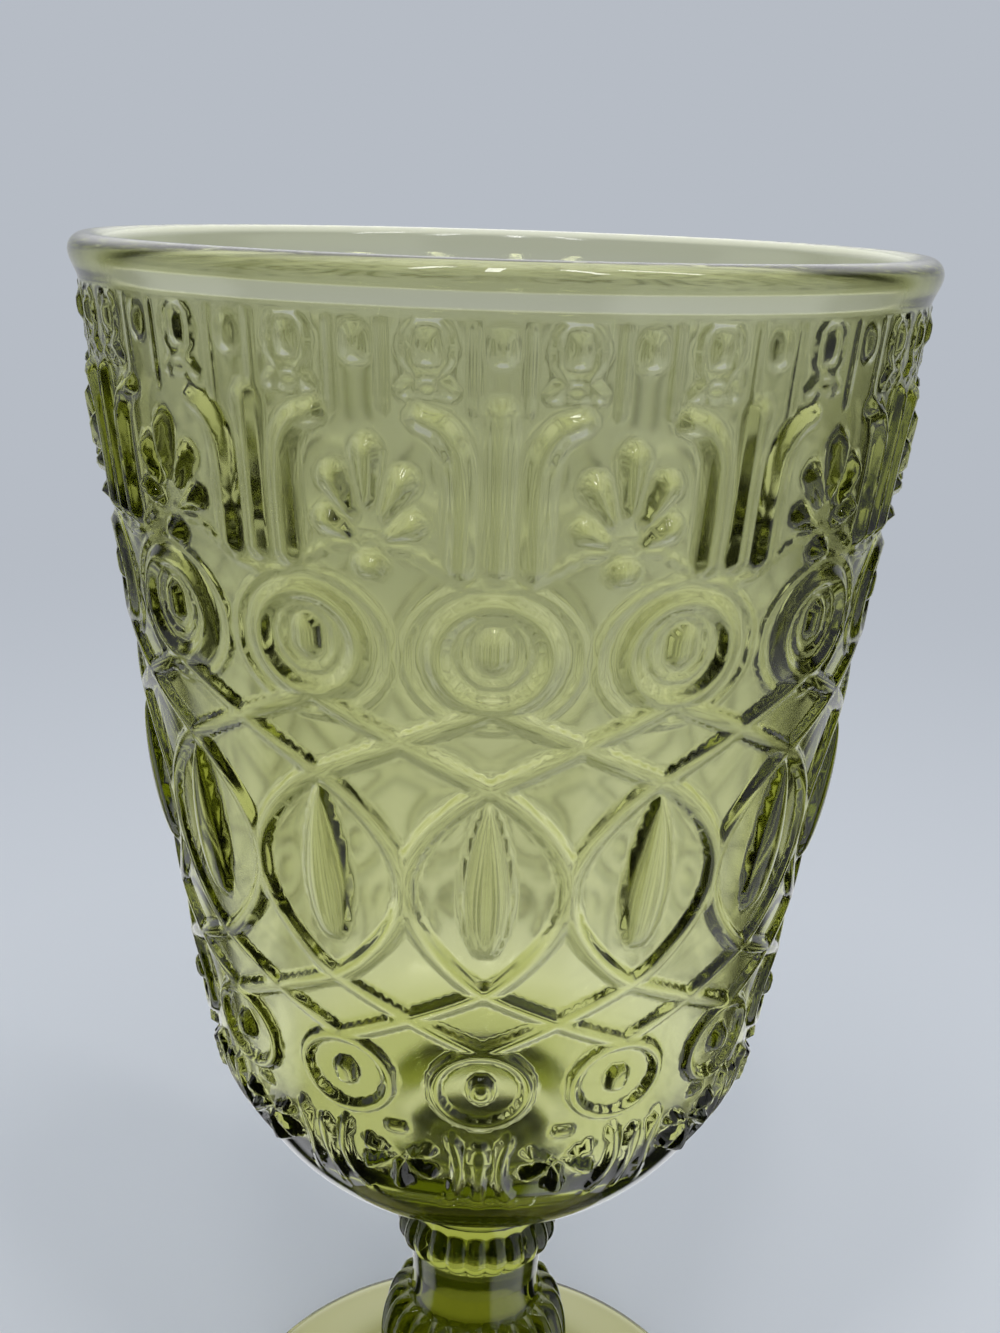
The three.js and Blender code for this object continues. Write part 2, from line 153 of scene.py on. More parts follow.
def sector_mesh(name, blocks, sector, lift):
    """One sector of a body round Z. Each block is (profile in mm, columns, relief or not), one after another
    from the axis at the bottom, round the outside and back to the axis."""
    points, normals, faces = [], [], []
    whole = np.concatenate([block[0] for block in blocks])
    along = np.gradient(whole, axis=0)
    along /= np.linalg.norm(along, axis=1, keepdims=True)
    count = passed = 0
    previous = None
    for profile, columns, has_relief in blocks:
        inner = slice(max(passed, 1), min(passed + len(profile), len(whole) - 1))
        passed += len(profile)
        rows = whole[inner]
        surface = lift if has_relief else plain
        p, n, raised = sector_rows(rows, along[inner], columns, sector, surface)
        angle = np.linspace(-sector / 2, sector / 2, columns + 1)
        mid_angle = ((angle[:-1] + angle[1:]) / 2)[None, :]
        mid_height = ((rows[:-1, 1] + rows[1:, 1]) / 2)[:, None]
        faces.append(cell_faces(count, len(rows), columns, raised, surface(mid_angle, mid_height)))
        if previous is not None:
            faces.append(zip_faces(previous[0], count, previous[1], columns))
        previous = (count + (len(rows) - 1) * (columns + 1), columns)
        points.append(p.reshape(-1, 3))
        normals.append(n.reshape(-1, 3))
        count += p.shape[0] * p.shape[1]
    points.append([[0, 0, whole[0, 1]], [0, 0, whole[-1, 1]]])
    normals.append([[0, 0, -1], [0, 0, 1]])
    first = np.arange(blocks[0][1])
    last = previous[0] + np.arange(previous[1])
    faces.append(np.stack([np.full_like(first, count), first + 1, first], -1))
    faces.append(np.stack([np.full_like(last, count + 1), last, last + 1], -1))
    mesh = bpy.data.meshes.new(name)
    mesh.from_pydata((np.concatenate(points) * MM).tolist(), [], np.concatenate(faces).tolist())
    attribute = mesh.attributes.new("turned_normal", "FLOAT_VECTOR", "POINT")
    attribute.data.foreach_set("vector", np.concatenate(normals).astype(np.float32).ravel())
    return mesh


def make_turning_tree():
    """Geometry Nodes that set copies of a sector round Z, weld them together and give them a material."""
    tree = bpy.data.node_groups.new("sectors round the axis", "GeometryNodeTree")
    face = tree.interface
    face.new_socket("Geometry", in_out="INPUT", socket_type="NodeSocketGeometry")
    face.new_socket("Copies", in_out="INPUT", socket_type="NodeSocketInt")
    face.new_socket("Weld", in_out="INPUT", socket_type="NodeSocketFloat")
    face.new_socket("Material", in_out="INPUT", socket_type="NodeSocketMaterial")
    face.new_socket("Geometry", in_out="OUTPUT", socket_type="NodeSocketGeometry")
    given = add(tree, "NodeGroupInput").outputs
    places = add(tree, "GeometryNodePoints", links={"Count": given["Copies"]})
    number = add(tree, "GeometryNodeInputIndex")
    share = add(tree, "ShaderNodeMath", links={0: number.outputs[0], 1: given["Copies"]}, operation="DIVIDE")
    angle = add(tree, "ShaderNodeMath", {1: 2 * math.pi}, {0: share.outputs[0]}, operation="MULTIPLY")
    turn = add(tree, "FunctionNodeAxisAngleToRotation", {"Axis": (0, 0, 1)}, {"Angle": angle.outputs[0]})
    copies = add(tree, "GeometryNodeInstanceOnPoints", links={
        "Points": places.outputs[0], "Instance": given["Geometry"], "Rotation": turn.outputs[0]})
    real = add(tree, "GeometryNodeRealizeInstances", links={"Geometry": copies.outputs[0]})
    weld = add(tree, "GeometryNodeMergeByDistance", links={
        "Geometry": real.outputs[0], "Distance": given["Weld"]})
    coated = add(tree, "GeometryNodeSetMaterial", links={
        "Geometry": weld.outputs[0], "Material": given["Material"]})
    add(tree, "NodeGroupOutput", links={"Geometry": coated.outputs[0]})
    return tree


def socket_id(tree, name):
    """The identifier of a tree's named input."""
    return next(s.identifier for s in tree.interface.items_tree if s.name == name and s.in_out == "INPUT")


def turned_piece(name, sector, copies, material, joints):
    """The whole piece from one sector. Faces at the heights of its joints stay flat, the rest is smooth."""
    maker = bpy.data.objects.new(name + "_sector", sector)
    bpy.context.collection.objects.link(maker)
    modifier = maker.modifiers.new("turn", "NODES")
    modifier.node_group = turning_tree
    modifier[socket_id(turning_tree, "Copies")] = copies
    modifier[socket_id(turning_tree, "Weld")] = WELD * MM
    modifier[socket_id(turning_tree, "Material")] = material
    evaluated = maker.evaluated_get(bpy.context.evaluated_depsgraph_get())
    mesh = bpy.data.meshes.new_from_object(evaluated)
    mesh.name = name
    bpy.data.objects.remove(maker)

    count = len(mesh.vertices)
    points = np.empty(count * 3, np.float32)
    mesh.vertices.foreach_get("co", points)
    points = points.reshape(-1, 3)
    parts = np.empty(count * 3, np.float32)
    mesh.attributes["turned_normal"].data.foreach_get("vector", parts)
    parts = parts.reshape(-1, 3)
    distance = np.maximum(np.hypot(points[:, 0], points[:, 1]), ON_AXIS)
    outwards = points[:, :2] / distance[:, None]
    outwards[distance <= ON_AXIS] = 0
    normals = np.empty_like(points)
    normals[:, 0] = parts[:, 0] * outwards[:, 0] - parts[:, 1] * outwards[:, 1]
    normals[:, 1] = parts[:, 0] * outwards[:, 1] + parts[:, 1] * outwards[:, 0]
    normals[:, 2] = parts[:, 2]
    mesh.attributes.remove(mesh.attributes["turned_normal"])

    corners = np.empty(len(mesh.loops), np.int32)
    mesh.loops.foreach_get("vertex_index", corners)
    corner_normals = normals[corners]
    triangles = corners.reshape(-1, 3)
    for joint in joints:
        flat = np.all(np.abs(points[triangles][..., 2] - joint * MM) < AT_JOINT, axis=1)
        facing = np.empty(len(mesh.polygons) * 3, np.float32)
        mesh.polygons.foreach_get("normal", facing)
        corner_normals.reshape(-1, 3, 3)[flat] = facing.reshape(-1, 1, 3)[flat]
    mesh.shade_smooth()
    mesh.normals_split_custom_set(corner_normals.tolist())
    piece = bpy.data.objects.new(name, mesh)
    bpy.context.collection.objects.link(piece)
    return piece


def make_olive_glass():
    """Soda-lime glass coloured olive green in the melt, pressed and fire-polished: clear and bright where it
    is thin, a deep yellow green where it is thick, with faint waves and dulled spots of a pressed skin."""
    material = bpy.data.materials.new("olive green pressed glass")
    material.use_nodes = True
    tree = material.node_tree
    tree.nodes.clear()
    where = add(tree, "ShaderNodeTexCoord")
    # Waves of about 6 mm left by the mould and the fire, and finer ones of about 1.5 mm.
    waves = add(tree, "ShaderNodeTexNoise", {"Scale": 1 / (6 * MM), "Detail": 2.0, "Roughness": 0.45},
                {"Vector": where.outputs["Object"]})
    skin = add(tree, "ShaderNodeBump", {"Strength": 0.12, "Distance": 0.15 * MM},
               {"Height": waves.outputs["Fac"]})
    # Handling leaves patches of about 12 mm a touch duller than the rest.
    patches = add(tree, "ShaderNodeTexNoise", {"Scale": 1 / (12 * MM), "Detail": 3.0},
                  {"Vector": where.outputs["Object"]})
    dulled = add(tree, "ShaderNodeMapRange",
                 {"From Min": 0.45, "From Max": 0.75, "To Min": 0.005, "To Max": 0.04},
                 {"Value": patches.outputs["Fac"]})
    # The plunger's side was not polished in the fire, and stays duller.
    plunger = add(tree, "ShaderNodeAttribute", attribute_name="plunger_side")
    inside = add(tree, "ShaderNodeMath", {1: PLUNGER_DULLNESS}, {0: plunger.outputs["Fac"]},
                 operation="MULTIPLY")
    dull = add(tree, "ShaderNodeMath", links={0: dulled.outputs["Result"], 1: inside.outputs[0]},
               operation="MAXIMUM")
    body = add(tree, "ShaderNodeBsdfPrincipled",
               {"Base Color": (1, 1, 1, 1), "IOR": 1.52, "Transmission Weight": 1.0},
               {"Roughness": dull.outputs[0], "Normal": skin.outputs["Normal"]})
    # The colour deepens with the length of glass that light passes, in metres.
    tint = add(tree, "ShaderNodeVolumeAbsorption", {"Color": linear("#D2D724"), "Density": 152.0})
    add(tree, "ShaderNodeOutputMaterial",
        links={"Surface": body.outputs["BSDF"], "Volume": tint.outputs["Volume"]})
    return material


def place(piece, node):
    """Sets a finished piece in the frame in the place of its solid."""
    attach(piece, "root")
    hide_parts(node)


turning_tree = make_turning_tree()
olive_glass = make_olive_glass()

foot_profile = np.concatenate([
    [[0, FOOT_HOLLOW]],
    bend((0, FOOT_HOLLOW), (REST_RING_INNER / 2, FOOT_HOLLOW), (REST_RING_INNER, 0), 14),
    [[(REST_RING_INNER + REST_RING_OUTER) / 2, 0], [REST_RING_OUTER, 0]],
    bend((REST_RING_OUTER, 0), (FOOT_RADIUS, 0), (FOOT_RADIUS, FOOT_EDGE / 2), 6),
    bend((FOOT_RADIUS, FOOT_EDGE / 2), (FOOT_RADIUS, FOOT_EDGE),
         ((FOOT_RADIUS + REST_RING_OUTER) / 2, FOOT_EDGE), 6),
    bend(((FOOT_RADIUS + REST_RING_OUTER) / 2, FOOT_EDGE),
         (STEM_BASE_RADIUS + DISH_OUT, FOOT_EDGE + DISH_UP), (STEM_BASE_RADIUS, FOOT_TOP), 18),
    [[0, FOOT_TOP]],
])
foot = turned_piece("foot_glass", sector_mesh("foot_sector", [(foot_profile, FOOT_COLUMNS, False)],
                                              2 * math.pi / FOOT_SECTORS, plain),
                    FOOT_SECTORS, olive_glass, [FOOT_TOP])
place(foot, "foot")

# Stem
# A short bell of the same glass with flutes pressed round it, joined hot to the foot.
# Under a smooth neck it rounds out to a shoulder, runs down almost straight and flares out at its base.
stem_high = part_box("stem")[1]
WAIST = stem_high[2] / MM
WAIST_RADIUS = 7.8
STEM_BODY_RADIUS = 11.2
STEM_DOME = 12.0
STEM_SHOULDER = 5.1
STEM_NECK = 3.9
STEM_NECK_RADIUS = 8.4
STEM_NECK_BEND = 0.4
STEM_FLARE = 3.4
FLUTE_COUNT = 24
FLUTE_DEPTH = 1.1
FLUTE_SUNK = 0.55
FLUTE_FOOT_FADE = 4.0
FLUTE_TOP = 0.8
FLUTE_TOP_FADE = 2.2
FLUTE_COLUMNS = 20


def smooth(low, high, value):
    """0 below low, 1 above high, eased in between."""
    t = np.clip((value - low) / (high - low), 0, 1)
    return t * t * (3 - 2 * t)


def fluting(count, depth, sunk, foot_height, foot_fade, top_height, top_fade):
    """Round ribs with sharp valleys between them, `count` round the axis, fading out at both ends. The
    valleys lie as deep as `sunk` under the plain surface."""
    def lift(angle, height):
        run = smooth(foot_height, foot_height + foot_fade, height)
        run = run * smooth(top_height, top_height - top_fade, height)
        return run * (depth * np.abs(np.cos(count * angle / 2)) - sunk)
    return lift


stem_profile = np.concatenate([
    [[0, FOOT_TOP - FUSED], [STEM_BASE_RADIUS - 2 * FUSED, FOOT_TOP - FUSED], [STEM_BASE_RADIUS, FOOT_TOP]],
    bend((STEM_BASE_RADIUS, FOOT_TOP), (STEM_BODY_RADIUS, FOOT_TOP + STEM_FLARE),
         (STEM_BODY_RADIUS, WAIST - STEM_DOME), 26),
    bend((STEM_BODY_RADIUS, WAIST - STEM_DOME), (STEM_BODY_RADIUS, WAIST - STEM_SHOULDER),
         (STEM_NECK_RADIUS, WAIST - STEM_NECK), 22),
    bend((STEM_NECK_RADIUS, WAIST - STEM_NECK), (WAIST_RADIUS, WAIST - STEM_NECK + STEM_NECK_BEND),
         (WAIST_RADIUS, WAIST - SEAM), 14),
    [[WAIST_RADIUS, WAIST], [0, WAIST]],
])
stem_flutes = fluting(FLUTE_COUNT, FLUTE_DEPTH, FLUTE_SUNK, FOOT_TOP, FLUTE_FOOT_FADE,
                      WAIST - STEM_NECK + FLUTE_TOP, FLUTE_TOP_FADE)
stem = turned_piece("stem_glass", sector_mesh("stem_sector", [(stem_profile, FLUTE_COLUMNS, True)],
                                              2 * math.pi / FLUTE_COUNT, stem_flutes),
                    FLUTE_COUNT, olive_glass, [FOOT_TOP - FUSED, WAIST])
place(stem, "stem")

# Knop
# A short collar of the same glass between stem and bowl: plain under the bowl, then a belt of round ribs,
# then a smooth neck that draws in to the waist.
knop_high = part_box("knop")[1]
BOWL_BASE = knop_high[2] / MM
KNOP_NECK_RADIUS = 8.1
KNOP_BULGE = 11.0
KNOP_BULGE_HEIGHT = 1.5
KNOP_COLLAR = 8.6
KNOP_BAND = 2.8
KNOP_RIB_LENGTH = 5.5
KNOP_RIB_COUNT = 24
KNOP_RIB_DEPTH = 0.42
KNOP_RIB_SUNK = 0.3
KNOP_RIB_BELOW = 0.3
KNOP_RIB_FOOT_FADE = 1.0
KNOP_RIB_ABOVE = 0.6
KNOP_RIB_TOP_FADE = 2.0
JOINT_RADIUS = 9.2

rib_top = BOWL_BASE - KNOP_BAND
rib_foot = rib_top - KNOP_RIB_LENGTH
knop_profile = np.concatenate([
    [[0, WAIST - FUSED], [WAIST_RADIUS - 2 * FUSED, WAIST - FUSED], [WAIST_RADIUS, WAIST]],
    np.linspace((WAIST_RADIUS, WAIST + SEAM), (KNOP_NECK_RADIUS, rib_foot), 9),
    bend((KNOP_NECK_RADIUS, rib_foot), (KNOP_BULGE, rib_foot + KNOP_BULGE_HEIGHT),
         (KNOP_COLLAR, rib_top), 24),
    bend((KNOP_COLLAR, rib_top), (KNOP_COLLAR, BOWL_BASE - KNOP_BAND / 2),
         (JOINT_RADIUS, BOWL_BASE - SEAM), 6),
    [[JOINT_RADIUS, BOWL_BASE], [0, BOWL_BASE]],
])
knop_ribs = fluting(KNOP_RIB_COUNT, KNOP_RIB_DEPTH, KNOP_RIB_SUNK, rib_foot - KNOP_RIB_BELOW,
                    KNOP_RIB_FOOT_FADE, rib_top + KNOP_RIB_ABOVE, KNOP_RIB_TOP_FADE)
knop = turned_piece("knop_glass", sector_mesh("knop_sector", [(knop_profile, FLUTE_COLUMNS, True)],
                                              2 * math.pi / KNOP_RIB_COUNT, knop_ribs),
                    KNOP_RIB_COUNT, olive_glass, [WAIST - FUSED, BOWL_BASE])
place(knop, "knop")

# Bowl
# The pressed bowl: a plunger left it smooth inside, and a mould in three parts left the relief outside.
# Its lip was rounded in the fire. One third, as one part of the mould made it, is set round three times.
bowl_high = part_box("bowl")[1]
RIM = bowl_high[2] / MM
LIP_RADIUS = bowl_high[0] / MM
LIP_OVERHANG = 0.9
LIP_THICKNESS = 3.2
LIP_BAND = 4.6
WALL_FOOT_HEIGHT = 28.0
WALL_FOOT = BOWL_BASE + WALL_FOOT_HEIGHT
WALL_TOP = RIM - LIP_BAND
WALL_FOOT_RADIUS = 31.2
WALL_TOP_RADIUS = LIP_RADIUS - LIP_OVERHANG
WALL_SWELL = 0.6
WALL_THICKNESS = 3.2
NECK_HEIGHT = 7.7
NECK_FILLET = 2.6
BOTTOM_RADIUS = 21.0
BOTTOM_RISE = 0.7
BOTTOM_EDGE = 1.6
HEEL_SLOPE = math.tan(math.radians(43))
FLOOR_THICKNESS = 6.2
INNER_HEEL = 9.5
WELL_RADIUS = 11.8
WELL_DEPTH = 5.5
WELL_EDGE = 1.2
MOULD_PARTS = 3
MOULD_DEGREES = 360 / MOULD_PARTS
RELIEF_COLUMNS = 165
HEEL_COLUMNS = 120
LIP_COLUMNS = 64
PLAIN_COLUMNS = 40
HEEL_ROWS = 40
BAND_ROWS = 6
LIP_STEPS = 16

# Rows lie closer where cords run across them: the height up to which each zone reaches, and its rows.
ROW_ZONES = ((91.0, 42), (107.5, 28), (128.0, 43), (WALL_TOP, 32))
wall_height = np.array([WALL_FOOT])
for zone_top, rows in ROW_ZONES:
    wall_height = np.concatenate([wall_height, np.linspace(wall_height[-1], zone_top, rows + 1)[1:]])
wall_share = (wall_height - WALL_FOOT) / (WALL_TOP - WALL_FOOT)
wall_radius = WALL_FOOT_RADIUS + (WALL_TOP_RADIUS - WALL_FOOT_RADIUS) * wall_share
wall_radius += 4 * WALL_SWELL * wall_share * (1 - wall_share)
wall_slope = (WALL_TOP_RADIUS - WALL_FOOT_RADIUS + 4 * WALL_SWELL) / (WALL_TOP - WALL_FOOT)

# A short neck stands on the knop, and the flat bottom runs out from it to an edge. The heel leaves that edge
# at a slope, which meets the line of the wall at a corner, and rounds the corner off.
bottom = BOWL_BASE + NECK_HEIGHT
edge = np.array([BOTTOM_RADIUS, bottom + BOTTOM_RISE])
corner_radius = WALL_FOOT_RADIUS - wall_slope * (WALL_FOOT - edge[1] + HEEL_SLOPE * edge[0])
corner_radius /= 1 - wall_slope * HEEL_SLOPE
corner = np.array([corner_radius, edge[1] + HEEL_SLOPE * (corner_radius - edge[0])])
neck_top = (JOINT_RADIUS, bottom - NECK_FILLET)
bottom_start = np.array([JOINT_RADIUS + NECK_FILLET, bottom])
edge_start = edge + (bottom_start - edge) / np.linalg.norm(bottom_start - edge) * BOTTOM_EDGE
edge_end = edge + (corner - edge) / np.linalg.norm(corner - edge) * BOTTOM_EDGE

lip_round = LIP_THICKNESS / 2
lip_turn = np.linspace(0, math.pi, LIP_STEPS + 1)
lip = np.stack([LIP_RADIUS - lip_round + lip_round * np.cos(lip_turn),
                RIM - lip_round + lip_round * np.sin(lip_turn)], axis=1)
band_share = np.linspace(0, 1, BAND_ROWS + 2)[1:-1]
band_height = WALL_TOP + band_share * (LIP_BAND - lip_round)
band_radius = WALL_TOP_RADIUS + LIP_OVERHANG * smooth(0, 1, band_share)

# Inside, the wall runs straight down, turns in to the floor, and the floor sinks into a round well.
mouth = lip[-1]
inner_slope = (mouth[0] - WALL_FOOT_RADIUS + WALL_THICKNESS) / (mouth[1] - WALL_FOOT)
floor_height = bottom + FLOOR_THICKNESS
inner_turn = mouth - (floor_height + INNER_HEEL - mouth[1]) * np.array([-inner_slope, -1])
inner_corner = mouth - (floor_height - mouth[1]) * np.array([-inner_slope, -1])
well_floor = floor_height - WELL_DEPTH
well_side = np.array([WELL_RADIUS - WELL_EDGE, well_floor + WELL_DEPTH * (1 - WELL_EDGE / WELL_RADIUS) ** 2])
brink = np.array([(WELL_RADIUS ** 2 + well_side[0] ** 2) / (2 * well_side[0]), floor_height])
floor_edge = (brink[0] + WELL_EDGE, floor_height)

base_profile = np.concatenate([
    [[0, BOWL_BASE - FUSED], [JOINT_RADIUS - 2 * FUSED, BOWL_BASE - FUSED], [JOINT_RADIUS, BOWL_BASE]],
    np.linspace((JOINT_RADIUS, BOWL_BASE + SEAM), neck_top, 3),
    bend(neck_top, (JOINT_RADIUS, bottom), bottom_start, 8),
    np.linspace(bottom_start, edge_start, 5)[1:],
])
heel_profile = np.concatenate([
    bend(edge_start, edge, edge_end, 7),
    bend(edge_end, corner, (WALL_FOOT_RADIUS, WALL_FOOT), HEEL_ROWS)[:-1],
])
wall_profile = np.stack([wall_radius, wall_height], axis=1)
lip_profile = np.concatenate([np.stack([band_radius, band_height], axis=1), lip])
inner_profile = np.concatenate([
    np.linspace(mouth, inner_turn, 8)[1:],
    bend(inner_turn, inner_corner, floor_edge, 16),
    bend(floor_edge, brink, well_side, 6),
    bend(well_side, (well_side[0] / 2, well_floor), (0, well_floor), 9),
])

# Every motif is drawn as strokes: points (across, below the rim, half width) in mm, joined by tapering runs.
# A stroke's height in mm and the form of its edge follow its points.
LEAST_WIDTH = 0.05
side = np.concatenate([heel_profile, wall_profile, lip_profile[:BAND_ROWS + 1]])
side_length = np.concatenate([[0], np.cumsum(np.hypot(*np.diff(side, axis=0).T))])
side_length = side_length[-1] - side_length


def side_radius(below):
    """Radius of the plain outside, so far below the rim."""
    return np.interp(RIM - below, side[:, 1], side[:, 0])


def side_distance(below):
    """Length along the outside from the lip down, so far below the rim."""
    return np.interp(RIM - below, side[:, 1], side_length)


def across(degrees, below):
    """Length round the outside for an angle, so far below the rim."""
    return math.radians(degrees) * float(side_radius(below))


def flat_edge(share):
    """A flat-topped line with soft sides."""
    return smooth(1.0, 0.3, share)


def dome_edge(share):
    """A drop or lens that rises sharply from the ground."""
    return np.sqrt(1 - share ** 2)


def swell_edge(share):
    """A soft ridge that swells out of the ground and is round on top."""
    return smooth(1.0, 0.0, share)


def curved(points, steps=6):
    """A path through given points, rounded between them."""
    path = np.array(points, float)
    ends = np.concatenate([[2 * path[0] - path[1]], path, [2 * path[-1] - path[-2]]])
    t = np.linspace(0, 1, steps, endpoint=False)[:, None]
    runs = []
    for a, b, c, d in zip(ends, ends[1:], ends[2:], ends[3:]):
        runs.append(b + t * (c - a) / 2 + t ** 2 * (a - 2.5 * b + 2 * c - d / 2)
                    + t ** 3 * (1.5 * b - 1.5 * c + (d - a) / 2))
    return np.concatenate(runs + [path[-1:]])


def stroke(field, x, v, points, height, edge):
    """Raises the field, whose rows lie at lengths v, to a stroke's height where the stroke covers it."""
    path = np.array(points, float)
    path[:, 1] = side_distance(path[:, 1])
    path[:, 2] = np.maximum(path[:, 2], LEAST_WIDTH)
    for (x0, v0, w0), (x1, v1, w1) in zip(path, path[1:]):
        reach = max(w0, w1)
        rows = slice(*np.searchsorted(v, [min(v0, v1) - reach, max(v0, v1) + reach]))
        px, pv = x[rows] - x0, (v[rows] - v0)[:, None]
        dx, dv = x1 - x0, v1 - v0
        t = np.clip((px * dx + pv * dv) / (dx * dx + dv * dv), 0, 1)
        share = np.hypot(px - t * dx, pv - t * dv) / (w0 + t * (w1 - w0))
        np.maximum(field[rows], height * edge(np.minimum(share, 1)), out=field[rows])


def half_ring(half_across, half_down, middle, width, steps=26):
    """The right half of an oval ring; its left half is its mirror image."""
    turn = np.linspace(0, math.pi, steps)
    return [(half_across * math.sin(t), middle - half_down * math.cos(t), width) for t in turn]


# Degrees from one repeat of a pattern to the next, and the sizes that the cords share.
RING_PATTERN = 24.0
FLOWER_PATTERN = 30.0
BEAD_PATTERN = 8.0
OVAL_FULLNESS = 0.8
CORD = 0.95
CORD_HEIGHT = 0.6
RING_FOOT, UPPER_CROSS, OVAL_TOP = 36.4, 40.1, 44.1
OVAL_FOOT, LOWER_CROSS, LOWER_RING_TOP = 65.6, 69.1, 72.5
LENS_MIDDLE = 53.3
LENS_HALF_LENGTH = 8.6


def oval_cord(top, foot, width, steps=44):
    """The right side of the big pointed oval, which touches its neighbours halfway down."""
    share = np.linspace(0, 1, steps)
    below = top + (foot - top) * share
    bulge = [RING_PATTERN / 2 * math.sin(math.pi * s) ** OVAL_FULLNESS for s in share]
    return [(across(degrees, b), b, width) for degrees, b in zip(bulge, below)]


def lace(field, x, v):
    """Rings, crossing cords and ovals, fifteen round the bowl, mirrored about each ring's middle."""
    stroke(field, x, v, half_ring(4.75, 4.55, 31.7, 1.5), 0.75, swell_edge)
    stroke(field, x, v, half_ring(2.75, 3.0, 31.4, 0.5), 0.22, flat_edge)
    stroke(field, x, v, half_ring(7.5, 6.5, 31.9, 0.5), 0.2, flat_edge)
    stroke(field, x, v, [(0, 30.5, 1.25), (0, 31.8, 1.25)], 0.8, dome_edge)
    for start, cross, end in ((RING_FOOT, UPPER_CROSS, OVAL_TOP), (OVAL_FOOT, LOWER_CROSS, LOWER_RING_TOP)):
        crossing = (across(RING_PATTERN / 2, cross), cross, CORD)
        stroke(field, x, v, [(0, start, CORD), crossing], CORD_HEIGHT, dome_edge)
        stroke(field, x, v, [crossing, (0, end, CORD)], CORD_HEIGHT, dome_edge)
    stroke(field, x, v, oval_cord(OVAL_TOP, OVAL_FOOT, CORD), CORD_HEIGHT, dome_edge)
    # The lens in each oval is highest at its middle and sinks to the ground at both ends.
    lens = np.zeros_like(field)
    outline = [(0, 45.4, 0.4), (0, 48.2, 1.35), (0, 51.3, 2.05), (0, 54.8, 2.4), (0, 58.0, 2.15),
               (0, 60.2, 1.5)]
    stroke(lens, x, v, curved(outline), 1.35, dome_edge)
    from_middle = (v - side_distance(LENS_MIDDLE)) / LENS_HALF_LENGTH
    np.maximum(field, lens * np.sqrt(np.clip(1 - from_middle ** 2, 0, 1))[:, None], out=field)
    stroke(field, x, v, half_ring(4.55, 4.25, 76.9, 0.75), 0.75, dome_edge)
    stroke(field, x, v, [(0, 76.5, 1.3), (0, 77.2, 1.3)], 1.1, dome_edge)


def flowers(field, x, v):
    """Tongues between scrolls above, and triple drops below, twelve round the bowl."""
    stroke(field, x, v, [(0, 11.6, 1.75), (0, 14, 1.6), (0, 20, 1.55), (0, 23.8, 1.65)], 0.95, swell_edge)
    leg = [(2.95, 23.9, 1.7), (2.9, 20.5, 1.7), (3.0, 17.2, 1.7), (3.4, 14.6, 1.65), (4.6, 12.8, 1.55),
           (6.3, 12.0, 1.25)]
    stroke(field, x, v, curved(leg), 1.0, swell_edge)
    # The drops run down over the heel and sink into it.
    drops = np.zeros_like(field)
    side_drop = [(2.6, 83.4, 0.7), (2.15, 85.4, 0.85), (1.95, 87.6, 0.85), (2.4, 90.4, 0.8),
                 (3.3, 93.6, 0.7), (4.2, 97.5, 0.6)]
    stroke(drops, x, v, curved(side_drop), 0.8, dome_edge)
    middle_drop = [(0, 84.4, 0.9), (0, 85.6, 1.15), (0, 87.4, 1.0), (0, 90, 0.8), (0, 97.5, 0.6)]
    stroke(drops, x, v, curved(middle_drop), 0.8, dome_edge)
    sinking = smooth(side_distance(95.0), side_distance(87.0), v)
    np.maximum(field, drops * sinking[:, None], out=field)


def palmettes(field, x, v):
    """Fans of five petals with a drop below, and the same turned over at the bottom, x from their middle."""
    stroke(field, x, v, [(0, 14.9, 1.75), (0, 16.9, 1.25), (0, 19.3, 0.45)], 1.2, swell_edge)
    stroke(field, x, v, [(2.95, 17.2, 1.65), (2.2, 18.6, 1.15), (1.4, 20.1, 0.45)], 1.2, swell_edge)
    stroke(field, x, v, [(3.55, 20.7, 1.55), (2.6, 21.2, 1.1), (1.6, 21.8, 0.45)], 1.2, swell_edge)
    stroke(field, x, v, [(0, 24.3, 1.5), (0.3, 24.3, 1.5)], 1.1, swell_edge)
    swag = [(0, 22.3, 0.45), (3.5, 23.0, 0.45), (5.6, 24.2, 0.45), (7.7, 25.5, 0.45), (10.4, 26.1, 0.45)]
    stroke(field, x, v, curved(swag), 0.22, flat_edge)
    stroke(field, x, v, [(0, 82.7, 0.8), (0.45, 82.7, 0.8)], 0.6, dome_edge)
    stroke(field, x, v, [(1.2, 85.7, 0.35), (2.9, 85.2, 0.9)], 1.1, dome_edge)
    stroke(field, x, v, [(0.9, 86.6, 0.35), (3.0, 88.0, 1.0)], 1.15, dome_edge)
    stroke(field, x, v, [(0, 87.3, 0.35), (0, 90.0, 1.1)], 1.2, dome_edge)


def beads(field, x, v, ringed):
    """Beads under the lip: one with a ring and two small curls, the next between two upright lines."""
    stroke(field, x, v, [(0, 6.1, 1.6), (0, 6.9, 1.6)], 0.6, swell_edge)
    ring, lines = np.zeros_like(field), np.zeros_like(field)
    stroke(ring, x, v, half_ring(1.8, 2.4, 6.5, 0.45, 16), 0.3, flat_edge)
    stroke(ring, x, v, curved([(0.6, 8.9, 0.4), (1.2, 9.3, 0.5), (1.75, 9.9, 0.6)]), 0.35, dome_edge)
    stroke(ring, x, v, [(0, 10.1, 0.5), (0.4, 10.1, 0.5)], 0.3, dome_edge)
    stroke(lines, x, v, [(2.15, 4.8, 0.35), (2.15, 11.6, 0.35)], 0.22, flat_edge)
    np.maximum(field, np.where(ringed, ring, lines), out=field)


def soften(field, axis, spread):
    """Blurs along one axis, round the end, by a spread in grid steps."""
    reach = np.arange(-math.ceil(3 * spread), math.ceil(3 * spread) + 1)
    weights = np.exp(-(reach / spread) ** 2 / 2)
    return sum(w * np.roll(field, k, axis) for k, w in zip(reach, weights / weights.sum()))


